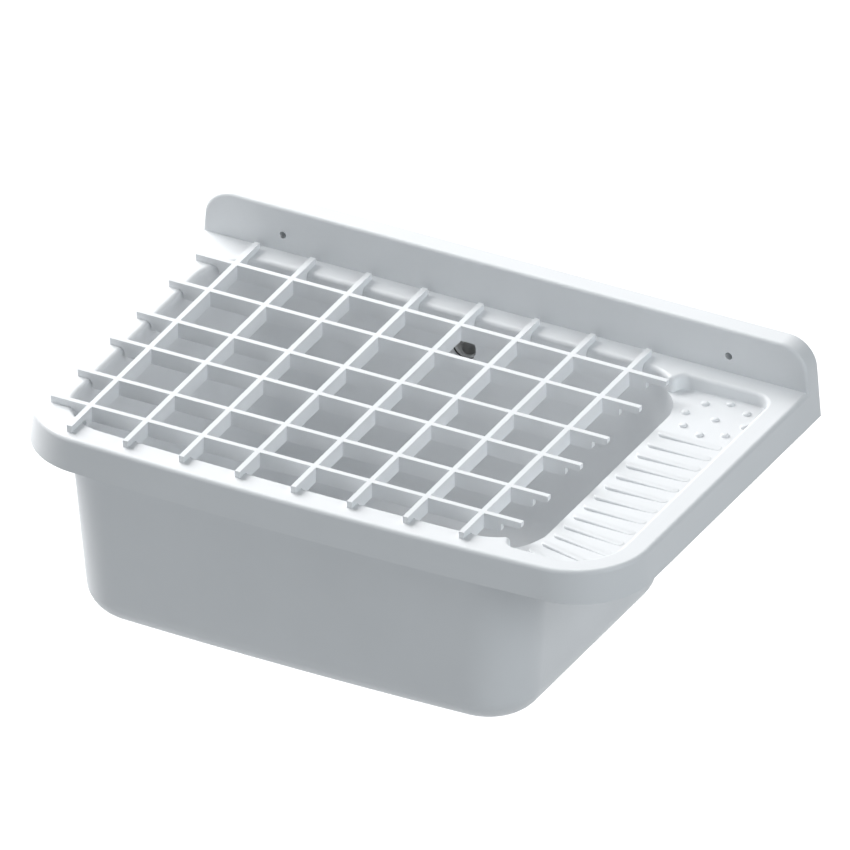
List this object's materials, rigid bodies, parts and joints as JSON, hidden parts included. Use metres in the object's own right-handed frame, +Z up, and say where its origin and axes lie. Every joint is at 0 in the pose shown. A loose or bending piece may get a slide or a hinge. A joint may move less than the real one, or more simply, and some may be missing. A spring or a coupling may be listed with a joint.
{
  "type": "mop service sink",
  "caption": "Wall-hung white plastic mop sink with a deep bowl, an upstand with screw holes, a washboard tray, a lift-off bucket grate, and drain and overflow fittings underneath.",
  "frame": {"origin": "in the wall plane, midway between the two screw holes of the upstand", "axes": "+X to the right along the wall, +Y into the wall, +Z up; the bowl's open front faces -Y"},
  "size_m": [0.6, 0.3939, 0.3115],
  "materials": {
    "white_plastic": "satin",
    "fitting_plastic": "satin",
    "hose_plastic": "satin",
    "black_rubber": "matte",
    "stainless_steel": "brushed",
    "brass": "machined"
  },
  "bodies": {
    "basin_and_fittings": {"basin": "white_plastic", "strainer_flange": "stainless_steel", "flange_seal": "black_rubber", "underside_seal": "black_rubber", "waste_body": "fitting_plastic", "screw_insert": "brass", "waste_screw": "stainless_steel", "overflow_gasket": "black_rubber", "overflow_elbow": "fitting_plastic", "elbow_screws": "stainless_steel", "overflow_hose": "hose_plastic", "upper_hose_seal": "black_rubber", "upper_hose_nut": "fitting_plastic", "lower_hose_seal": "black_rubber", "lower_hose_nut": "fitting_plastic"},
    "bucket_grate": {"grate": "white_plastic"},
    "plug": {"drain_plug": "black_rubber"}
  },
  "joints": [
    {"name": "grate_lift", "type": "slide", "parent": "basin_and_fittings", "child": "bucket_grate", "axis": [0, 0, 1], "range_m": [0, 0.2]},
    {"name": "plug_lift", "type": "slide", "parent": "basin_and_fittings", "child": "plug", "axis": [0, 0, 1], "range_m": [0, 0.12]}
  ]
}
